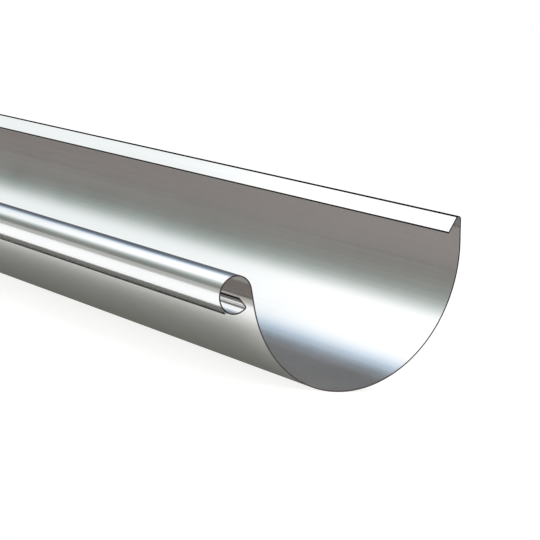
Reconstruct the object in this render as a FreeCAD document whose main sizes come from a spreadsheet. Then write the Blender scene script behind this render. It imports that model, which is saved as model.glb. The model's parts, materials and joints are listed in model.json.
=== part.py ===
import FreeCAD
import Part
import Sketcher
import math
import os

# One length of half-round eaves gutter, roll-formed from a single strip of
# zinc-coated steel sheet. Its section, from the back of the roof edge outwards:
# a lip folded down into the trough, a short upright rear wall, the bowl, a front
# wall that leans out a little, and a hollow bead rolled outwards, whose end is
# folded in as a flat tab. The section is drawn as it hangs, round the bowl's axis.

os.makedirs("parts", exist_ok=True)
doc = FreeCAD.newDocument("GutterSection")

# Driving dimensions, in millimetres and degrees.
SIZES = [
    ("stock_length", 2000, "length of the piece as sold"),
    ("sheet_thickness", 0.6, "thickness of the coated steel"),
    ("bowl_inside_diameter", 127, "nominal inside diameter of the trough"),
    ("front_inside_radius", 58.6, "tighter inside radius of the bowl towards the front"),
    ("front_curve_start", 15.3, "degrees past the lowest point where that radius begins"),
    ("front_wall_lean", 10.5, "degrees that the front wall leans outwards"),
    ("bead_outside_diameter", 18, "outside diameter of the rolled bead"),
    ("bead_drop", 8.3, "height of the bowl's axis above the bead's axis"),
    ("bead_overrun", 35, "degrees that the bead is rolled past its lowest point"),
    ("tab_bend_inside_radius", 0.6, "inside radius of the bend between bead and tab"),
    ("tab_lean", 40, "degrees that the tab leans outwards"),
    ("tab_length", 5.4, "flat length of the tab inside the bead"),
    ("rear_rise", 12.7, "height of the rear edge above the bowl's axis"),
    ("lip_fold_inside_radius", 1.1, "inside radius of the fold along the rear edge"),
    ("lip_lean", 36, "degrees between the folded lip and the rear wall"),
    ("lip_length", 8.6, "flat length of the folded lip"),
]

sheet = doc.addObject("Spreadsheet::Sheet", "Sizes")
for row, (alias, value, meaning) in enumerate(SIZES, start=1):
    sheet.set(f"A{row}", meaning)
    sheet.set(f"B{row}", str(value))
    sheet.setAlias(f"B{row}", alias)
doc.recompute()


def size(alias):
    """A driving dimension as the sheet holds it."""
    return float(sheet.get(alias))


def origin_plane(body, role):
    """One of the body's own three origin planes."""
    return next(plane for plane in body.Origin.OriginFeatures if plane.Role == role)


def toward(angle):
    """Unit vector in the section, at an angle in degrees from the level rear side."""
    return FreeCAD.Vector(math.cos(math.radians(angle)), math.sin(math.radians(angle)), 0)


START, END, CENTRE = 1, 2, 3
SKETCH_ORIGIN = (-1, 1)

body = doc.addObject("PartDesign::Body", "GutterBody")
body.Label = "gutter_section"
section = body.newObject("Sketcher::SketchObject", "Section")
section.AttachmentSupport = [(origin_plane(body, "YZ_Plane"), "")]
section.MapMode = "FlatFace"


def draw_arc(centre, radius, first_angle, last_angle):
    """An arc of the sketch, anticlockwise between two angles in degrees."""
    circle = Part.Circle(centre, FreeCAD.Vector(0, 0, 1), radius)
    arc = Part.ArcOfCircle(circle, math.radians(first_angle), math.radians(last_angle))
    return section.addGeometry(arc, False)


def draw_bend(centre, trough_radius, outside_radius, first_angle, last_angle):
    """Both faces of the sheet round one bend: the trough face, then the outside face."""
    bend = [draw_arc(centre, radius, first_angle, last_angle)
            for radius in (trough_radius, outside_radius)]
    relate("Coincident", bend[0], CENTRE, bend[1], CENTRE)
    return bend


def draw_line(start, end, construction=False):
    """A straight line of the sketch."""
    return section.addGeometry(Part.LineSegment(start, end), construction)


def draw_flat(bend, bend_point, other_bend, other_point):
    """Both faces of the sheet on a flat that runs from one bend to another."""
    flat = [draw_line(section.getPoint(bend[face], bend_point),
                      section.getPoint(other_bend[face], other_point)) for face in (0, 1)]
    join(flat, START, bend, bend_point)
    join(flat, END, other_bend, other_point)
    return flat


def draw_free_end(bend, bend_point, heading, length):
    """Both faces of a flat that starts at a bend, and the square edge that ends it."""
    flat = []
    for face in (0, 1):
        start = section.getPoint(bend[face], bend_point)
        flat.append(draw_line(start, start + toward(heading) * length))
    edge = draw_line(section.getPoint(flat[0], END), section.getPoint(flat[1], END))
    join(flat, START, bend, bend_point)
    relate("Coincident", edge, START, flat[0], END)
    relate("Coincident", edge, END, flat[1], END)
    relate("Parallel", flat[0], flat[1])
    relate("Perpendicular", edge, flat[0])
    return flat


def draw_ray(bend, bend_point):
    """A construction line from a bend's centre to one end of its trough face."""
    ray = draw_line(section.getPoint(bend[0], CENTRE),
                    section.getPoint(bend[0], bend_point), construction=True)
    relate("Coincident", ray, START, bend[0], CENTRE)
    relate("Coincident", ray, END, bend[0], bend_point)
    return ray


def relate(kind, *elements):
    """A geometric constraint."""
    return section.addConstraint(Sketcher.Constraint(kind, *elements))


def join(one, one_point, other, other_point):
    """Each face of the sheet runs on smoothly from one stretch to the next."""
    for face in (0, 1):
        relate("Tangent", one[face], one_point, other[face], other_point)


def dimension(name, formula, kind, *elements):
    """A dimension of the sketch that follows the sheet."""
    index = relate(kind, *elements)
    section.renameConstraint(index, name)
    section.setExpression(f"Constraints.{name}", formula)


thickness = size("sheet_thickness")
bowl_radius = size("bowl_inside_diameter") / 2
front_radius = size("front_inside_radius")
bead_radius = size("bead_outside_diameter") / 2
fold_radius = size("lip_fold_inside_radius")
tab_bend_radius = size("tab_bend_inside_radius")

LEVEL, UPRIGHT, DOWN = 0, 90, -90
wall_lean = size("front_wall_lean")
front_curve_angle = DOWN - size("front_curve_start")
bead_end_angle = DOWN + size("bead_overrun")
lip_angle = 2 * UPRIGHT - size("lip_lean")
FULL_TURN = 360

# Centres of the five bends. Each bend runs on smoothly from the stretch before it, so
# the front curve's centre lies on the ray where it takes over from the bowl, and the
# bead touches the line of the front wall at the height that the bead's drop gives.
bowl_centre = FreeCAD.Vector(0, 0, 0)
front_centre = toward(front_curve_angle) * (bowl_radius - front_radius)
fold_centre = FreeCAD.Vector(bowl_radius - fold_radius,
                             size("rear_rise") - fold_radius - thickness, 0)
beside_wall = front_centre - toward(wall_lean) * (front_radius + bead_radius)
climb = (-size("bead_drop") - beside_wall.y) / math.cos(math.radians(wall_lean))
bead_centre = beside_wall + toward(UPRIGHT + wall_lean) * climb
tab_bend_centre = bead_centre + toward(bead_end_angle) * (
    bead_radius - thickness - tab_bend_radius)

# The bends, from the rear edge to the tab.
fold = draw_bend(fold_centre, fold_radius, fold_radius + thickness, LEVEL, lip_angle)
bowl = draw_bend(bowl_centre, bowl_radius, bowl_radius + thickness, front_curve_angle, LEVEL)
front = draw_bend(front_centre, front_radius, front_radius + thickness,
                  wall_lean - 2 * UPRIGHT, front_curve_angle)
bead = draw_bend(bead_centre, bead_radius, bead_radius - thickness,
                 wall_lean, bead_end_angle + FULL_TURN)
tab_bend = draw_bend(tab_bend_centre, tab_bend_radius + thickness, tab_bend_radius,
                     bead_end_angle, size("tab_lean"))

# The flats between them and the two free ends of the strip.
lip = draw_free_end(fold, END, -UPRIGHT - size("lip_lean"), size("lip_length"))
rear_wall = draw_flat(fold, START, bowl, END)
join(bowl, START, front, END)
front_wall = draw_flat(front, START, bead, START)
join(bead, END, tab_bend, START)
tab = draw_free_end(tab_bend, END, UPRIGHT + size("tab_lean"), size("tab_length"))
front_curve_ray = draw_ray(bowl, START)
bead_end_ray = draw_ray(bead, END)

relate("Coincident", bowl[0], CENTRE, *SKETCH_ORIGIN)
relate("Vertical", rear_wall[0])
dimension("bowl_inside", "Sizes.bowl_inside_diameter / 2", "Radius", bowl[0], bowl_radius)
dimension("bowl_outside", "Sizes.bowl_inside_diameter / 2 + Sizes.sheet_thickness",
          "Radius", bowl[1], bowl_radius + thickness)
dimension("front_inside", "Sizes.front_inside_radius", "Radius", front[0], front_radius)
dimension("front_curve_start", "-90 - Sizes.front_curve_start",
          "Angle", front_curve_ray, math.radians(front_curve_angle))
dimension("front_wall_lean", "90 + Sizes.front_wall_lean",
          "Angle", front_wall[0], math.radians(UPRIGHT + wall_lean))
dimension("bead_outside", "Sizes.bead_outside_diameter / 2", "Radius", bead[0], bead_radius)
dimension("bead_inside", "Sizes.bead_outside_diameter / 2 - Sizes.sheet_thickness",
          "Radius", bead[1], bead_radius - thickness)
dimension("bead_drop", "Sizes.bead_drop",
          "DistanceY", bead[0], CENTRE, *SKETCH_ORIGIN, size("bead_drop"))
dimension("bead_end", "-90 + Sizes.bead_overrun",
          "Angle", bead_end_ray, math.radians(bead_end_angle))
dimension("tab_bend_inside", "Sizes.tab_bend_inside_radius",
          "Radius", tab_bend[1], tab_bend_radius)
dimension("tab_lean", "90 + Sizes.tab_lean",
          "Angle", tab[0], math.radians(UPRIGHT + size("tab_lean")))
dimension("tab_length", "Sizes.tab_length", "Distance", tab[0], size("tab_length"))
dimension("fold_inside", "Sizes.lip_fold_inside_radius", "Radius", fold[0], fold_radius)
dimension("fold_outside", "Sizes.lip_fold_inside_radius + Sizes.sheet_thickness",
          "Radius", fold[1], fold_radius + thickness)
dimension("fold_height",
          "Sizes.rear_rise - Sizes.lip_fold_inside_radius - Sizes.sheet_thickness",
          "DistanceY", *SKETCH_ORIGIN, fold[0], CENTRE, fold_centre.y)
dimension("lip_lean", "-90 - Sizes.lip_lean",
          "Angle", lip[0], math.radians(-UPRIGHT - size("lip_lean")))
dimension("lip_length", "Sizes.lip_length", "Distance", lip[0], size("lip_length"))

# The strip is the same all along, so the section is drawn out to the piece's length,
# half of it to each side.
stock = body.newObject("PartDesign::Pad", "Stock")
stock.Profile = section
stock.SideType = "Symmetric"
stock.setExpression("Length", "Sizes.stock_length")
doc.recompute()

# Unheld on a level floor the piece lies on its bowl and rolls until its centre of
# gravity hangs straight below the bowl's axis. It is placed as it then lies, with
# the middle of its footprint box at the origin.
heavy_side = body.Shape.CenterOfMass
rest_roll = math.degrees(math.atan2(-heavy_side.y, -heavy_side.z))
body.Placement = FreeCAD.Placement(
    FreeCAD.Vector(), FreeCAD.Rotation(FreeCAD.Vector(1, 0, 0), rest_roll))
doc.recompute()
rolled = body.Shape.BoundBox
body.Placement = FreeCAD.Placement(
    FreeCAD.Vector(-rolled.Center.x, -rolled.Center.y, -rolled.ZMin), body.Placement.Rotation)
doc.recompute()

faults = [item.Name for item in doc.Objects
          if "Invalid" in item.State or "Error" in item.State]
if faults or not section.FullyConstrained:
    raise RuntimeError(f"the model is not sound: {faults or 'the section is loose'}")
if body.Shape.isNull() or not body.Shape.isValid() or len(body.Shape.Solids) != 1:
    raise RuntimeError("the gutter is not one valid solid")
body.Shape.exportStep(f"parts/{body.Label}.step")

print("roll at rest", round(rest_roll, 3), "degrees; bowl's axis at", body.Placement.Base)
print("volume", round(body.Shape.Volume), "mm3; box", body.Shape.BoundBox)
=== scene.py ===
import json
import math

import bmesh
import bpy
from mathutils import Matrix, Quaternion, Vector


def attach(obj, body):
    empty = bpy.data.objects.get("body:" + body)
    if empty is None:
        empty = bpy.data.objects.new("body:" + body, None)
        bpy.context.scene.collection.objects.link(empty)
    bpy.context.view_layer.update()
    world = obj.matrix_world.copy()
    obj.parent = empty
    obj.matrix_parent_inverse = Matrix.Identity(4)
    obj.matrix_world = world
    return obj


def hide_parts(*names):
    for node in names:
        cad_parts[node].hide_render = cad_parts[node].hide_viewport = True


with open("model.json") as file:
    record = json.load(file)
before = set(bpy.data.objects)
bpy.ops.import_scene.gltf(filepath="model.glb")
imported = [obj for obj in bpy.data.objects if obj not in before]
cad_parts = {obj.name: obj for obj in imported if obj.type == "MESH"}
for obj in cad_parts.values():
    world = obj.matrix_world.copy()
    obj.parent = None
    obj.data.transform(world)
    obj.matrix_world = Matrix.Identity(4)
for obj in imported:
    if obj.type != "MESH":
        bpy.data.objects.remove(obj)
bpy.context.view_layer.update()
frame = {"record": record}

scene = bpy.context.scene
scene.view_settings.view_transform = "Standard"

# The gutter. The real piece is one strip of zinc-coated steel sheet, roll-formed lengthwise
# in one go into rear lip, rear wall, bowl, front wall and hollow bead, and sheared to length.
# It lies loose on its bowl, rolled a little towards the bead, which is its heavy side.
SHEET = 0.0006
BOWL_RADIUS = 0.0635
FRONT_RADIUS = 0.0586
FRONT_CURVE_START = math.radians(15.3)
WALL_LEAN = math.radians(10.5)
BEAD_RADIUS = 0.009
BEAD_DROP = 0.0083
BEAD_OVERRUN = math.radians(35)
TAB_BEND_RADIUS = 0.0006
TAB_LEAN = math.radians(40)
TAB_LENGTH = 0.0054
REAR_RISE = 0.0127
FOLD_RADIUS = 0.0011
LIP_LEAN = math.radians(36)
LIP_LENGTH = 0.0086
EDGE_SHADE_WIDTH = 0.0009
END_SHADE_WIDTH = 0.0003
FOLD_SHADE_GAIN = 3
QUARTER = math.radians(90)
FLATTENING = 0.000004
STATIONS = 40


def toward(angle):
    """Unit vector in the section, at an angle from level, rear side first."""
    return Vector((math.cos(angle), math.sin(angle)))


def bend(centre, trough_radius, outside_radius, first, last):
    """Pairs of points on the two faces of the sheet, round one bend."""
    largest = max(trough_radius, outside_radius)
    step = 2 * math.acos(1 - FLATTENING / largest)
    steps = math.ceil(abs(last - first) / step)
    turned = [toward(first + (last - first) * count / steps) for count in range(steps + 1)]
    return [(centre + way * trough_radius, centre + way * outside_radius) for way in turned]


def beyond(pair, heading, lengths):
    """Pairs of points on a flat that runs on from a bend, at some lengths from it."""
    return [tuple(point + toward(heading) * length for point in pair) for length in lengths]


def fold_shade(pairs):
    """How deep the painted shade lies across a tight bend's outer face: most in its middle."""
    last = len(pairs) - 1
    return [min(1, FOLD_SHADE_GAIN * (1 - abs(2 * count / last - 1))) for count in range(last + 1)]


front_start = -QUARTER - FRONT_CURVE_START
bead_end = 3 * QUARTER + BEAD_OVERRUN
front_centre = toward(front_start) * (BOWL_RADIUS - FRONT_RADIUS)
fold_centre = Vector((BOWL_RADIUS - FOLD_RADIUS, REAR_RISE - FOLD_RADIUS - SHEET))
beside_wall = front_centre - toward(WALL_LEAN) * (FRONT_RADIUS + BEAD_RADIUS)
climb = (-BEAD_DROP - beside_wall.y) / math.cos(WALL_LEAN)
bead_centre = beside_wall + toward(QUARTER + WALL_LEAN) * climb
tab_bend_centre = bead_centre + toward(bead_end) * (BEAD_RADIUS - SHEET - TAB_BEND_RADIUS)

fold = bend(fold_centre, FOLD_RADIUS, FOLD_RADIUS + SHEET, 2 * QUARTER - LIP_LEAN, 0)
bowl = bend(Vector((0, 0)), BOWL_RADIUS, BOWL_RADIUS + SHEET, 0, front_start)
front = bend(front_centre, FRONT_RADIUS, FRONT_RADIUS + SHEET, front_start, WALL_LEAN - 2 * QUARTER)
bead = bend(bead_centre, BEAD_RADIUS, BEAD_RADIUS - SHEET, WALL_LEAN, bead_end)
tab_bend = bend(tab_bend_centre, TAB_BEND_RADIUS + SHEET, TAB_BEND_RADIUS, bead_end,
                4 * QUARTER + TAB_LEAN)
lip = beyond(fold[0], -QUARTER - LIP_LEAN, (LIP_LENGTH, LIP_LENGTH - EDGE_SHADE_WIDTH))
tab = beyond(tab_bend[-1], QUARTER + TAB_LEAN, (TAB_LENGTH - EDGE_SHADE_WIDTH, TAB_LENGTH))
section = lip + fold + bowl + front[1:] + bead + tab_bend[1:] + tab
# A near-black band of painted shade lies along the sheared edges and over the outer face of the tight
# bends: these pairs give its depth on the trough and outside faces of each point.
no_shade, full_shade = (0, 0), (1, 1)
edge_shade = [full_shade, no_shade] + [(0, in_fold) for in_fold in fold_shade(fold)]
edge_shade += [no_shade] * (len(bowl) + len(front[1:]) + len(bead))
edge_shade += [(in_fold, 0) for in_fold in fold_shade(tab_bend)[1:]] + [no_shade, full_shade]

mounts = {mount["name"]: Vector(mount["pos_m"]) for mount in frame["record"]["mounts"]}
near_end = mounts["end_right"].x
far_end = mounts["end_left"].x
axis = Vector((mounts["bowl_underside"].y, BOWL_RADIUS + SHEET))
lying_bead = Vector(mounts["bead_hook"].yz) - axis
roll = math.atan2(lying_bead.y, lying_bead.x) - math.atan2(bead_centre.y, bead_centre.x)
lay_down = Matrix.Rotation(roll, 2)
section = [tuple(axis + lay_down @ point for point in pair) for pair in section]

# Both faces of the sheet go round the section as one closed outline, drawn out lengthwise.
# The roll former's shear leaves a square cut with a slight chamfer, at both ends and both edges.
CHAMFER = 0.00004
CHAMFER_ANGLE = math.radians(60)
SMOOTH_UP_TO = math.radians(35)
ZINC_SLOT = 0
CUT_SLOT = 1
outline = [pair[0] for pair in section] + [pair[1] for pair in reversed(section)]
outline_edge_shade = [pair[0] for pair in edge_shade] + [pair[1] for pair in reversed(edge_shade)]
around = len(outline)
lengthwise = [far_end + (near_end - far_end) * station / STATIONS for station in range(STATIONS + 1)]
lengthwise.insert(1, far_end + END_SHADE_WIDTH)
lengthwise.insert(-1, near_end - END_SHADE_WIDTH)
strip = bmesh.new()
painted_edge_shade = strip.verts.layers.float.new("painted_edge_shade")
rings = []
for along in lengthwise:
    ring = [strip.verts.new((along, point.x, point.y)) for point in outline]
    for corner, amount in zip(ring, outline_edge_shade):
        corner[painted_edge_shade] = 1 if along in (far_end, near_end) else amount
    rings.append(ring)
for ring, next_ring in zip(rings, rings[1:]):
    for corner in range(around):
        after = (corner + 1) % around
        side = strip.faces.new((ring[corner], ring[after], next_ring[after], next_ring[corner]))
        side.material_index = CUT_SLOT if after in (0, len(section)) else ZINC_SLOT
far_cut, near_cut = rings[0], rings[-1]
for pair in range(len(section) - 1):
    across = around - 1 - pair
    strip.faces.new((far_cut[pair], far_cut[across], far_cut[across - 1],
                     far_cut[pair + 1])).material_index = CUT_SLOT
    strip.faces.new((near_cut[pair], near_cut[pair + 1], near_cut[across - 1],
                     near_cut[across])).material_index = CUT_SLOT
bmesh.ops.recalc_face_normals(strip, faces=strip.faces)
sheared = [edge for edge in strip.edges if edge.calc_face_angle() > CHAMFER_ANGLE]
bmesh.ops.bevel(strip, geom=sheared, offset=CHAMFER, segments=1, affect="EDGES")
gutter_mesh = bpy.data.meshes.new("gutter_sheet")
strip.to_mesh(gutter_mesh)
strip.free()
gutter_mesh.polygons.foreach_set("use_smooth", [True] * len(gutter_mesh.polygons))
gutter_mesh.set_sharp_from_angle(angle=SMOOTH_UP_TO)
gutter = bpy.data.objects.new("gutter_sheet", gutter_mesh)
scene.collection.objects.link(gutter)

# Rolling lines: fine scratches that the rolls draw along the strip, in long uneven
# streaks, with broad clouds over them where the zinc set a little duller or brighter.
LINE_DETAIL = 3.0
LINE_ROUGHNESS = 0.6
CLOUD_DETAIL = 4.0
rolling = bpy.data.node_groups.new("rolling_lines", "ShaderNodeTree")
for socket_name, preset in (("Lines per Metre", 900.0), ("Stretch", 0.004), ("Clouds per Metre", 30.0)):
    socket = rolling.interface.new_socket(socket_name, in_out="INPUT", socket_type="NodeSocketFloat")
    socket.default_value = preset
for socket_name in ("Lines", "Clouds"):
    rolling.interface.new_socket(socket_name, in_out="OUTPUT", socket_type="NodeSocketFloat")
group_in = rolling.nodes.new("NodeGroupInput")
group_out = rolling.nodes.new("NodeGroupOutput")
place = rolling.nodes.new("ShaderNodeTexCoord")
stretch = rolling.nodes.new("ShaderNodeCombineXYZ")
stretch.inputs["Y"].default_value = 1.0
stretch.inputs["Z"].default_value = 1.0
rolling.links.new(group_in.outputs["Stretch"], stretch.inputs["X"])
drawn_out = rolling.nodes.new("ShaderNodeVectorMath")
drawn_out.operation = "MULTIPLY"
rolling.links.new(place.outputs["Object"], drawn_out.inputs[0])
rolling.links.new(stretch.outputs["Vector"], drawn_out.inputs[1])
lines = rolling.nodes.new("ShaderNodeTexNoise")
lines.inputs["Detail"].default_value = LINE_DETAIL
lines.inputs["Roughness"].default_value = LINE_ROUGHNESS
rolling.links.new(drawn_out.outputs["Vector"], lines.inputs["Vector"])
rolling.links.new(group_in.outputs["Lines per Metre"], lines.inputs["Scale"])
clouds = rolling.nodes.new("ShaderNodeTexNoise")
clouds.inputs["Detail"].default_value = CLOUD_DETAIL
rolling.links.new(place.outputs["Object"], clouds.inputs["Vector"])
rolling.links.new(group_in.outputs["Clouds per Metre"], clouds.inputs["Scale"])
rolling.links.new(lines.outputs["Fac"], group_out.inputs["Lines"])
rolling.links.new(clouds.outputs["Fac"], group_out.inputs["Clouds"])


def rolling_lines(tree, lines_per_metre, stretch_along, clouds_per_metre):
    """The rolling lines' node in one material, at that material's scale."""
    node = tree.nodes.new("ShaderNodeGroup")
    node.node_tree = rolling
    node.inputs["Lines per Metre"].default_value = lines_per_metre
    node.inputs["Stretch"].default_value = stretch_along
    node.inputs["Clouds per Metre"].default_value = clouds_per_metre
    return node.outputs["Lines"], node.outputs["Clouds"]


# Zinc coat on both faces: bright, skin-passed metal with no spangle. Next to the sheared
# edges and round the tightest bends a near-black band of painted shade lies over it.
ZINC_LINES_PER_METRE = 900.0
ZINC_STRETCH = 0.003
ZINC_CLOUDS_PER_METRE = 22.0
CLOUD_SHARE = 0.5
LINE_SHARE = 0.5
STREAKS_FROM = 0.3
STREAKS_TO = 0.7
DULL_ZINC = (0.86, 0.87, 0.875)
BRIGHT_ZINC = (0.955, 0.955, 0.955)
ROUGHNESS_WHERE_DULL = 0.15
ROUGHNESS_WHERE_BRIGHT = 0.25
SCRATCH_DEPTH = 0.0000015
EDGE_SHADE_BLACK = (0.012, 0.011, 0.011, 1)
SHADE_RAGGED_BY = 0.2
SHADE_SHOWS_FROM = 0.3
SHADE_FULL_FROM = 0.5


def new_material(name):
    """A material with its nodes, links and Principled shader at hand."""
    material = bpy.data.materials.new(name)
    material.use_nodes = True
    tree = material.node_tree
    return material, tree.nodes, tree.links, tree.nodes["Principled BSDF"]


def blended(tree, mask, low, high):
    """A colour that goes from low to high with a mask."""
    ramp = tree.nodes.new("ShaderNodeValToRGB")
    ramp.color_ramp.elements[0].color = (*low, 1)
    ramp.color_ramp.elements[1].color = (*high, 1)
    tree.links.new(mask, ramp.inputs["Fac"])
    return ramp.outputs["Color"]


def ranged(tree, mask, low, high):
    """A value that goes from low to high with a mask."""
    span = tree.nodes.new("ShaderNodeMapRange")
    span.inputs["To Min"].default_value = low
    span.inputs["To Max"].default_value = high
    tree.links.new(mask, span.inputs["Value"])
    return span.outputs["Result"]


def bumped(tree, height, depth):
    """A normal for the Principled shader, from a height that varies up to a depth in metres."""
    bump = tree.nodes.new("ShaderNodeBump")
    bump.inputs["Distance"].default_value = depth
    tree.links.new(height, bump.inputs["Height"])
    return bump.outputs["Normal"]


zinc, zinc_nodes, zinc_links, zinc_shader = new_material("zinc_coat")
zinc_tree = zinc.node_tree
zinc_lines, zinc_clouds = rolling_lines(zinc_tree, ZINC_LINES_PER_METRE, ZINC_STRETCH,
                                        ZINC_CLOUDS_PER_METRE)
zinc_shader.inputs["Specular IOR Level"].default_value = 0.0
zinc_mask = zinc_nodes.new("ShaderNodeMath")
zinc_mask.operation = "MULTIPLY_ADD"
zinc_mask.inputs[1].default_value = CLOUD_SHARE
zinc_links.new(zinc_clouds, zinc_mask.inputs[0])
lines_part = zinc_nodes.new("ShaderNodeMath")
lines_part.operation = "MULTIPLY"
lines_part.inputs[1].default_value = LINE_SHARE
zinc_links.new(zinc_lines, lines_part.inputs[0])
zinc_links.new(lines_part.outputs[0], zinc_mask.inputs[2])
streaked = zinc_nodes.new("ShaderNodeMapRange")
streaked.inputs["From Min"].default_value = STREAKS_FROM
streaked.inputs["From Max"].default_value = STREAKS_TO
zinc_links.new(zinc_mask.outputs[0], streaked.inputs["Value"])
# The painted shade band: near black and not metallic where its mask is full.
edge_shade_here = zinc_nodes.new("ShaderNodeAttribute")
edge_shade_here.attribute_name = "painted_edge_shade"
ragged_shade = zinc_nodes.new("ShaderNodeMath")
ragged_shade.operation = "MULTIPLY_ADD"
ragged_shade.inputs[1].default_value = SHADE_RAGGED_BY
zinc_links.new(zinc_lines, ragged_shade.inputs[0])
zinc_links.new(edge_shade_here.outputs["Fac"], ragged_shade.inputs[2])
painted_shade_mask = zinc_nodes.new("ShaderNodeMapRange")
painted_shade_mask.interpolation_type = "SMOOTHSTEP"
painted_shade_mask.inputs["From Min"].default_value = SHADE_SHOWS_FROM
painted_shade_mask.inputs["From Max"].default_value = SHADE_FULL_FROM
zinc_links.new(ragged_shade.outputs[0], painted_shade_mask.inputs["Value"])
coat_colour = blended(zinc_tree, streaked.outputs["Result"], DULL_ZINC, BRIGHT_ZINC)
coat_or_shade = zinc_nodes.new("ShaderNodeMix")
coat_or_shade.data_type = "RGBA"
coat_or_shade.inputs["B"].default_value = EDGE_SHADE_BLACK
zinc_links.new(painted_shade_mask.outputs["Result"], coat_or_shade.inputs["Factor"])
zinc_links.new(coat_colour, coat_or_shade.inputs["A"])
zinc_links.new(coat_or_shade.outputs["Result"], zinc_shader.inputs["Base Color"])
zinc_links.new(ranged(zinc_tree, painted_shade_mask.outputs["Result"], 1.0, 0.0), zinc_shader.inputs["Metallic"])
zinc_links.new(ranged(zinc_tree, streaked.outputs["Result"], ROUGHNESS_WHERE_DULL, ROUGHNESS_WHERE_BRIGHT),
               zinc_shader.inputs["Roughness"])
zinc_links.new(bumped(zinc_tree, zinc_lines, SCRATCH_DEPTH), zinc_shader.inputs["Normal"])

# Sheared edge: bare steel right through the sheet, as the shear leaves it, with a fine grain
# in place of the rolling lines. The cut dulls it, and it is dark against the zinc.
CUT_GRAIN_PER_METRE = 2500.0
CUT_STRETCH = 1.0
CUT_CLOUDS_PER_METRE = 160.0
DARK_STEEL = (0.09, 0.06, 0.057)
PALE_STEEL = (0.2, 0.145, 0.14)
LEAST_CUT_ROUGHNESS = 0.35
MOST_CUT_ROUGHNESS = 0.6
GRAIN_DEPTH = 0.00002
cut, _, cut_links, cut_shader = new_material("sheared_steel")
cut_tree = cut.node_tree
cut_grain, cut_clouds = rolling_lines(cut_tree, CUT_GRAIN_PER_METRE, CUT_STRETCH, CUT_CLOUDS_PER_METRE)
cut_shader.inputs["Metallic"].default_value = 1.0
cut_links.new(blended(cut_tree, cut_clouds, DARK_STEEL, PALE_STEEL), cut_shader.inputs["Base Color"])
cut_links.new(ranged(cut_tree, cut_grain, LEAST_CUT_ROUGHNESS, MOST_CUT_ROUGHNESS),
              cut_shader.inputs["Roughness"])
cut_links.new(bumped(cut_tree, cut_grain, GRAIN_DEPTH), cut_shader.inputs["Normal"])

gutter_mesh.materials.append(zinc)
gutter_mesh.materials.append(cut)
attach(gutter, "root")
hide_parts("gutter_section")

# The floor: a wide sheet of white paper. Its paper tone comes from its own colour and from
# a glow that the camera and the metal see, and the gutter's soft shadow is painted into that
# glow from an occlusion mask. The painted shade levels are for the camera, then for the
# metal's first, second, third and later reflections.
FLOOR_REACH = 60
CONTACT_REACH = 0.25
PAPER = 0.35
SHADE_TINT = (0.98, 1.0, 0.86)
SHADE_BY_REFLECTIONS = (0.86, 0.12, 0.03, 0.12, 0.5)
HALF_STEP = 0.5
OPEN_FROM = 0.17
FULLY_OPEN = 0.54


def flat_sheet(name, first_edge, last_edge, reach):
    """A sheet from one edge to another, each at a Y and a Z, that reaches as far either way on X."""
    mesh = bpy.data.meshes.new(name)
    mesh.from_pydata([(-reach, *first_edge), (reach, *first_edge),
                      (reach, *last_edge), (-reach, *last_edge)], [], [(0, 1, 2, 3)])
    sheet = bpy.data.objects.new(name, mesh)
    scene.collection.objects.link(sheet)
    return sheet


floor = flat_sheet("floor", (-FLOOR_REACH, 0), (FLOOR_REACH, 0), FLOOR_REACH)
paper, paper_nodes, paper_links, paper_shader = new_material("white_paper")
paper_shader.inputs["Base Color"].default_value = (PAPER, PAPER, PAPER, 1)
paper_shader.inputs["Roughness"].default_value = 1.0
paper_shader.inputs["Specular IOR Level"].default_value = 0.0
# Painted shadow: the glow is darkened near the gutter from ambient occlusion.
shaded = paper_nodes.new("ShaderNodeAmbientOcclusion")
shaded.inputs["Distance"].default_value = CONTACT_REACH
opened = paper_nodes.new("ShaderNodeMapRange")
opened.interpolation_type = "SMOOTHSTEP"
opened.inputs["From Min"].default_value = OPEN_FROM
opened.inputs["From Max"].default_value = FULLY_OPEN
paper_links.new(shaded.outputs["AO"], opened.inputs["Value"])
light_path = paper_nodes.new("ShaderNodeLightPath")
reflected = paper_nodes.new("ShaderNodeMath")
reflected.operation = "DIVIDE"
reflected.inputs[1].default_value = len(SHADE_BY_REFLECTIONS)
paper_links.new(light_path.outputs["Glossy Depth"], reflected.inputs[0])
shade = paper_nodes.new("ShaderNodeValToRGB")
shade.color_ramp.interpolation = "CONSTANT"
while len(shade.color_ramp.elements) < len(SHADE_BY_REFLECTIONS):
    shade.color_ramp.elements.new(1.0)
for times, (stop, level) in enumerate(zip(shade.color_ramp.elements, SHADE_BY_REFLECTIONS)):
    stop.position = max(0, (times - HALF_STEP) / len(SHADE_BY_REFLECTIONS))
    stop.color = (level, level, level, 1)
paper_links.new(reflected.outputs[0], shade.inputs["Fac"])
paper_links.new(shade.outputs["Color"], opened.inputs["To Min"])
seen = light_path.outputs["Is Camera Ray"]
for other_ray in ("Is Glossy Ray", "Is Transmission Ray"):
    either = paper_nodes.new("ShaderNodeMath")
    either.operation = "MAXIMUM"
    paper_links.new(seen, either.inputs[0])
    paper_links.new(light_path.outputs[other_ray], either.inputs[1])
    seen = either.outputs[0]
glow = paper_nodes.new("ShaderNodeMath")
glow.operation = "MULTIPLY"
paper_links.new(seen, glow.inputs[0])
paper_links.new(opened.outputs["Result"], glow.inputs[1])
paper_links.new(blended(paper.node_tree, opened.outputs["Result"], SHADE_TINT, (1, 1, 1)),
                paper_shader.inputs["Emission Color"])
paper_links.new(glow.outputs[0], paper_shader.inputs["Emission Strength"])
floor.data.materials.append(paper)

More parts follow.
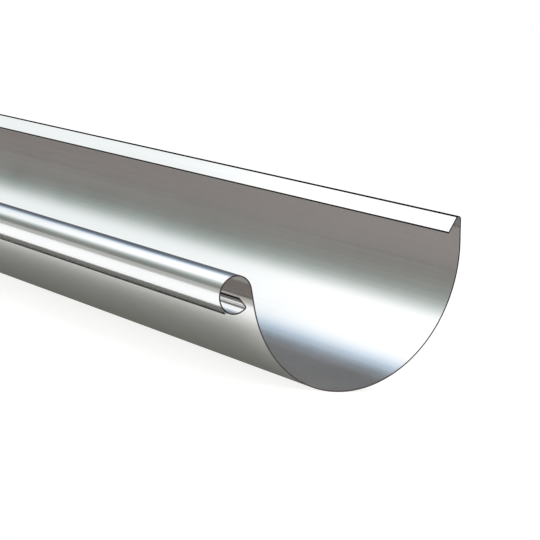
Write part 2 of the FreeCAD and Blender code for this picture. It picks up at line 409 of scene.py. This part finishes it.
# The studio: a grey room and a low white backdrop behind the gutter, lower still for the
# metal. Room angles are in degrees round the gutter's length, from the rear. The room dims
# along the gutter, and is one even grey to each side for reflections of reflections.
ROOM = ((0, (0.10, 0.11, 0.115)), (14, (0.09, 0.10, 0.11)), (24, (0.12, 0.135, 0.145)),
        (34, (0.13, 0.147, 0.178)), (48, (0.155, 0.181, 0.226)), (90, (0.187, 0.20, 0.215)),
        (150, (0.23, 0.235, 0.22)), (180, (0.245, 0.235, 0.22)))
HALF_TURN = 180
ROOM_FAR_ALONG = 0.7
ROOM_DIM_UP_TO = -0.88
ROOM_FULL_FROM = -0.74
BETWEEN_FIRST_AND_SECOND = 1.5
AGAIN_TO_FRONT = (0.163, 0.164, 0.166)
AGAIN_TO_REAR = (0.282, 0.254, 0.237)
SIDES_BLEND_WITHIN = 0.1
LOST_EACH_TIME = 0.92
MOST_REFLECTIONS = 12
BACKDROP_BEARING = math.radians(135.5)
BACKDROP_HALF_WIDTH = math.radians(56)
BACKDROP_FADED_AT = math.radians(66)
BACKDROP_HEIGHT = math.radians(6)
BACKDROP_TOP = math.radians(9.5)
BACKDROP_SHRINKS = 2.5
world = bpy.data.worlds.new("studio")
scene.world = world
world.use_nodes = True
world.cycles.sampling_method = "NONE"
world_nodes, world_links = world.node_tree.nodes, world.node_tree.links
direction = world_nodes.new("ShaderNodeTexCoord").outputs["Generated"]
parts = world_nodes.new("ShaderNodeSeparateXYZ")
world_links.new(direction, parts.inputs["Vector"])
turn = world_nodes.new("ShaderNodeMath")
turn.operation = "ARCTAN2"
world_links.new(parts.outputs["Z"], turn.inputs[0])
world_links.new(parts.outputs["Y"], turn.inputs[1])
share = world_nodes.new("ShaderNodeMath")
share.operation = "DIVIDE"
share.inputs[1].default_value = math.pi
world_links.new(turn.outputs[0], share.inputs[0])
room = world_nodes.new("ShaderNodeValToRGB")
room.color_ramp.interpolation = "EASE"
stops = room.color_ramp.elements
while len(stops) < len(ROOM):
    stops.new(1.0)
for stop, (degrees, colour) in zip(stops, ROOM):
    stop.position = degrees / HALF_TURN
    stop.color = (*colour, 1)
world_links.new(share.outputs[0], room.inputs["Fac"])
world_path = world_nodes.new("ShaderNodeLightPath")
reflections = world_path.outputs["Glossy Depth"]
again = world_nodes.new("ShaderNodeMath")
again.operation = "GREATER_THAN"
again.inputs[1].default_value = BETWEEN_FIRST_AND_SECOND
world_links.new(reflections, again.inputs[0])
kept = world_nodes.new("ShaderNodeMath")
kept.operation = "POWER"
kept.inputs[0].default_value = 1 / LOST_EACH_TIME
world_links.new(reflections, kept.inputs[1])
to_rear = world_nodes.new("ShaderNodeMapRange")
to_rear.inputs["From Min"].default_value = -SIDES_BLEND_WITHIN
to_rear.inputs["From Max"].default_value = SIDES_BLEND_WITHIN
world_links.new(parts.outputs["Y"], to_rear.inputs["Value"])
evened = world_nodes.new("ShaderNodeVectorMath")
evened.operation = "SCALE"
world_links.new(blended(world.node_tree, to_rear.outputs["Result"], AGAIN_TO_FRONT, AGAIN_TO_REAR),
                evened.inputs[0])
world_links.new(kept.outputs[0], evened.inputs["Scale"])
seen_room = world_nodes.new("ShaderNodeMix")
seen_room.data_type = "RGBA"
world_links.new(again.outputs[0], seen_room.inputs["Factor"])
world_links.new(evened.outputs["Vector"], seen_room.inputs["B"])
world_links.new(room.outputs["Color"], seen_room.inputs["A"])
along_room = world_nodes.new("ShaderNodeMapRange")
along_room.inputs["From Min"].default_value = ROOM_DIM_UP_TO
along_room.inputs["From Max"].default_value = ROOM_FULL_FROM
along_room.inputs["To Min"].default_value = ROOM_FAR_ALONG
world_links.new(parts.outputs["X"], along_room.inputs["Value"])
darker_along = world_nodes.new("ShaderNodeVectorMath")
darker_along.operation = "SCALE"
world_links.new(seen_room.outputs["Result"], darker_along.inputs[0])
world_links.new(along_room.outputs["Result"], darker_along.inputs["Scale"])
towards_backdrop = world_nodes.new("ShaderNodeVectorMath")
towards_backdrop.operation = "DOT_PRODUCT"
towards_backdrop.inputs[1].default_value = (math.cos(BACKDROP_BEARING), math.sin(BACKDROP_BEARING), 0)
world_links.new(direction, towards_backdrop.inputs[0])
above = world_nodes.new("ShaderNodeMath")
above.operation = "MULTIPLY"
world_links.new(parts.outputs["Z"], above.inputs[0])
world_links.new(ranged(world.node_tree, world_path.outputs["Is Glossy Ray"], 1.0, BACKDROP_SHRINKS),
                above.inputs[1])
backdrop = world_nodes.new("ShaderNodeMath")
backdrop.operation = "MULTIPLY"
for socket, measure, faded_at, full_at in (
        (0, towards_backdrop.outputs["Value"], math.cos(BACKDROP_FADED_AT), math.cos(BACKDROP_HALF_WIDTH)),
        (1, above.outputs[0], math.sin(BACKDROP_TOP), math.sin(BACKDROP_HEIGHT))):
    fade = world_nodes.new("ShaderNodeMapRange")
    fade.interpolation_type = "SMOOTHSTEP"
    fade.inputs["From Min"].default_value = faded_at
    fade.inputs["From Max"].default_value = full_at
    world_links.new(measure, fade.inputs["Value"])
    world_links.new(fade.outputs["Result"], backdrop.inputs[socket])
studio = world_nodes.new("ShaderNodeMix")
studio.data_type = "RGBA"
studio.inputs["B"].default_value = (1, 1, 1, 1)
world_links.new(backdrop.outputs[0], studio.inputs["Factor"])
world_links.new(darker_along.outputs["Vector"], studio.inputs["A"])
world_links.new(studio.outputs["Result"], world_nodes["Background"].inputs["Color"])
scene.cycles.glossy_bounces = MOST_REFLECTIONS

# One long soft box leans over the gutter from the front, full in its middle and fading out to
# both edges, and a little dimmer and bluer along most of its length than by the near end. Only
# first reflections see it: the lighting that the photograph shows has no others.
BOX_FRONT = Vector((-0.217, 0.219))
BOX_REAR = Vector((0.128, 0.473))
BOX_REACH = 6
BOX_LIGHT = ((-0.5, (0, 0, 0)), (-0.18, (0.045, 0.06, 0.055)), (-0.093, (0.145, 0.185, 0.16)),
             (-0.04, (0.235, 0.28, 0.27)), (0.015, (0.42, 0.47, 0.46)), (0.057, (0.66, 0.7, 0.7)),
             (0.11, (1.0, 1.0, 1.0)), (0.68, (1.0, 1.0, 1.0)), (0.75, (0.8, 0.87, 0.95)),
             (0.84, (0.56, 0.67, 0.81)), (0.93, (0.41, 0.52, 0.655)), (1.03, (0.29, 0.385, 0.485)),
             (1.14, (0.19, 0.265, 0.34)), (1.28, (0.11, 0.165, 0.225)), (1.45, (0.06, 0.09, 0.13)),
             (1.9, (0, 0, 0)))
BOX_ENDS = (BOX_LIGHT[0][0], BOX_LIGHT[-1][0])
BOX_DIM_UP_TO = near_end - 0.66
BOX_FULL_FROM = near_end - 0.44
BOX_FAR_TINT = (0.79, 0.82, 0.825)


def only_mirrored(thing):
    """Hide a thing from the camera and the paper, and let it cast no shadow."""
    thing.visible_camera = False
    thing.visible_diffuse = False
    thing.visible_shadow = False


box_edges = [BOX_FRONT.lerp(BOX_REAR, end) for end in BOX_ENDS]
soft_box = flat_sheet("soft_box", box_edges[0], box_edges[1], BOX_REACH)
only_mirrored(soft_box)
box_material, box_nodes, box_links, box_shader = new_material("soft_box")
box_place = box_nodes.new("ShaderNodeTexCoord").outputs["Object"]
box_parts = box_nodes.new("ShaderNodeSeparateXYZ")
box_links.new(box_place, box_parts.inputs["Vector"])
box_across = box_nodes.new("ShaderNodeMapRange")
box_across.inputs["From Min"].default_value = box_edges[0].x
box_across.inputs["From Max"].default_value = box_edges[1].x
box_links.new(box_parts.outputs["Y"], box_across.inputs["Value"])
box_glow = box_nodes.new("ShaderNodeValToRGB")
stops = box_glow.color_ramp.elements
while len(stops) < len(BOX_LIGHT):
    stops.new(1.0)
for stop, (across, colour) in zip(stops, BOX_LIGHT):
    stop.position = (across - BOX_ENDS[0]) / (BOX_ENDS[1] - BOX_ENDS[0])
    stop.color = (*colour, 1)
box_links.new(box_across.outputs["Result"], box_glow.inputs["Fac"])
box_along = box_nodes.new("ShaderNodeMapRange")
box_along.interpolation_type = "SMOOTHSTEP"
box_along.inputs["From Min"].default_value = BOX_DIM_UP_TO
box_along.inputs["From Max"].default_value = BOX_FULL_FROM
box_links.new(box_parts.outputs["X"], box_along.inputs["Value"])
box_dimmed = box_nodes.new("ShaderNodeVectorMath")
box_dimmed.operation = "MULTIPLY"
box_links.new(box_glow.outputs["Color"], box_dimmed.inputs[0])
box_links.new(blended(box_material.node_tree, box_along.outputs["Result"], BOX_FAR_TINT, (1, 1, 1)),
              box_dimmed.inputs[1])
first_only = box_nodes.new("ShaderNodeMath")
first_only.operation = "LESS_THAN"
first_only.inputs[1].default_value = BETWEEN_FIRST_AND_SECOND
box_links.new(box_nodes.new("ShaderNodeLightPath").outputs["Glossy Depth"], first_only.inputs[0])
box_light = box_nodes.new("ShaderNodeEmission")
box_links.new(box_dimmed.outputs["Vector"], box_light.inputs["Color"])
box_links.new(first_only.outputs[0], box_light.inputs["Strength"])
box_over_room = box_nodes.new("ShaderNodeAddShader")
box_links.new(box_nodes.new("ShaderNodeBsdfTransparent").outputs[0], box_over_room.inputs[0])
box_links.new(box_light.outputs[0], box_over_room.inputs[1])
box_links.new(box_over_room.outputs[0], box_nodes["Material Output"].inputs["Surface"])
box_nodes.remove(box_shader)
soft_box.data.materials.append(box_material)

# Cards beside and inside the gutter, each drawn from edge to edge so that it faces the metal,
# glowing only in the metal's reflections, where they paint light and shade: grey ones in front
# and behind, a paler strip near the bead, three dark flags close under it that paint shade
# lines, a warm card in the bead's gap and seven small ones inside the bead that paint the
# highlights and shade on its inner faces. They cast no shadow.
CARD_REACH = 6
EDGE_FLAG_REACH = near_end - 0.027
CARDS = (("grey_card", (-0.3, 0.11), (-0.3, 0), (0.25, 0.24, 0.225, 1), CARD_REACH),
         ("rear_card", (0.16, 0), (0.16, 0.1), (0.25, 0.255, 0.26, 1), CARD_REACH),
         ("pale_strip", (-0.085, 0.0487), (-0.085, 0.0403), (0.48, 0.48, 0.46, 1), CARD_REACH),
         ("flag_under_bead", (-0.0682, 0.03), (-0.0605, 0.03), (0.18, 0.185, 0.167, 1), CARD_REACH),
         ("flag_at_joint", (-0.056, 0.0265), (-0.056, 0.034), (0.02, 0.02, 0.018, 1), CARD_REACH),
         ("flag_at_edge", (-0.04668, 0.0294), (-0.0461, 0.0285), (0.005, 0.005, 0.005, 1),
          EDGE_FLAG_REACH),
         ("warm_card_in_gap", (-0.0562, 0.036), (-0.0562, 0.029), (0.45, 0.42, 0.39, 1), CARD_REACH),
         ("brown_card_on_tab", (-0.0583, 0.0421), (-0.0537, 0.03838), (0.17, 0.15, 0.14, 1), near_end),
         ("dark_to_tab", (-0.0578, 0.0365), (-0.0557, 0.03703), (0.06, 0.07, 0.06, 1), near_end),
         ("glow_to_tab", (-0.0557, 0.03703), (-0.0551, 0.03718), (1, 1, 1, 1), near_end),
         ("glow_to_bead", (-0.0552, 0.0369), (-0.0572, 0.03545), (0.97, 0.99, 1, 1), near_end),
         ("blue_to_bead", (-0.0572, 0.03545), (-0.058, 0.03515), (0.6, 0.68, 0.75, 1), near_end),
         ("slate_to_bead", (-0.058, 0.03515), (-0.0588, 0.0349), (0.3, 0.36, 0.42, 1), near_end),
         ("shade_to_bead", (-0.0588, 0.0349), (-0.0603, 0.0347), (0.13, 0.14, 0.16, 1), near_end))
for card_name, first_edge, last_edge, card_colour, reach in CARDS:
    card = flat_sheet(card_name, first_edge, last_edge, reach)
    only_mirrored(card)
    card_material, card_nodes, card_links, card_shader = new_material(card_name)
    card_front = card_nodes.new("ShaderNodeEmission")
    card_front.inputs["Color"].default_value = card_colour
    card_side = card_nodes.new("ShaderNodeMixShader")
    card_links.new(card_nodes.new("ShaderNodeNewGeometry").outputs["Backfacing"], card_side.inputs[0])
    card_links.new(card_front.outputs[0], card_side.inputs[1])
    card_links.new(card_nodes.new("ShaderNodeBsdfTransparent").outputs[0], card_side.inputs[2])
    card_links.new(card_side.outputs[0], card_nodes["Material Output"].inputs["Surface"])
    card_nodes.remove(card_shader)
    card.data.materials.append(card_material)

# The camera stands a little above the bead's side of the near end, at the photograph's
# angle. It is tilted because the gutter lies rolled.
LENS = 120.66
NEAREST_SHOWN = 0.01
FROM_NEAR_END = Vector((0.6401, -0.5433, 0.0731))
HEADING = math.radians(52.37)
LOOK_DOWN = math.radians(5.80)
TILT = math.radians(-8.88)
camera = bpy.data.objects.new("camera", bpy.data.cameras.new("camera"))
scene.collection.objects.link(camera)
scene.camera = camera
camera.data.lens = LENS
camera.data.clip_start = NEAREST_SHOWN
camera.location = Vector((near_end, *axis)) + FROM_NEAR_END
level = Vector((-math.sin(HEADING), math.cos(HEADING), 0))
look = level * math.cos(LOOK_DOWN) - Vector((0, 0, math.sin(LOOK_DOWN)))
camera.rotation_mode = "QUATERNION"
camera.rotation_quaternion = Quaternion(look, TILT) @ look.to_track_quat("-Z", "Y")
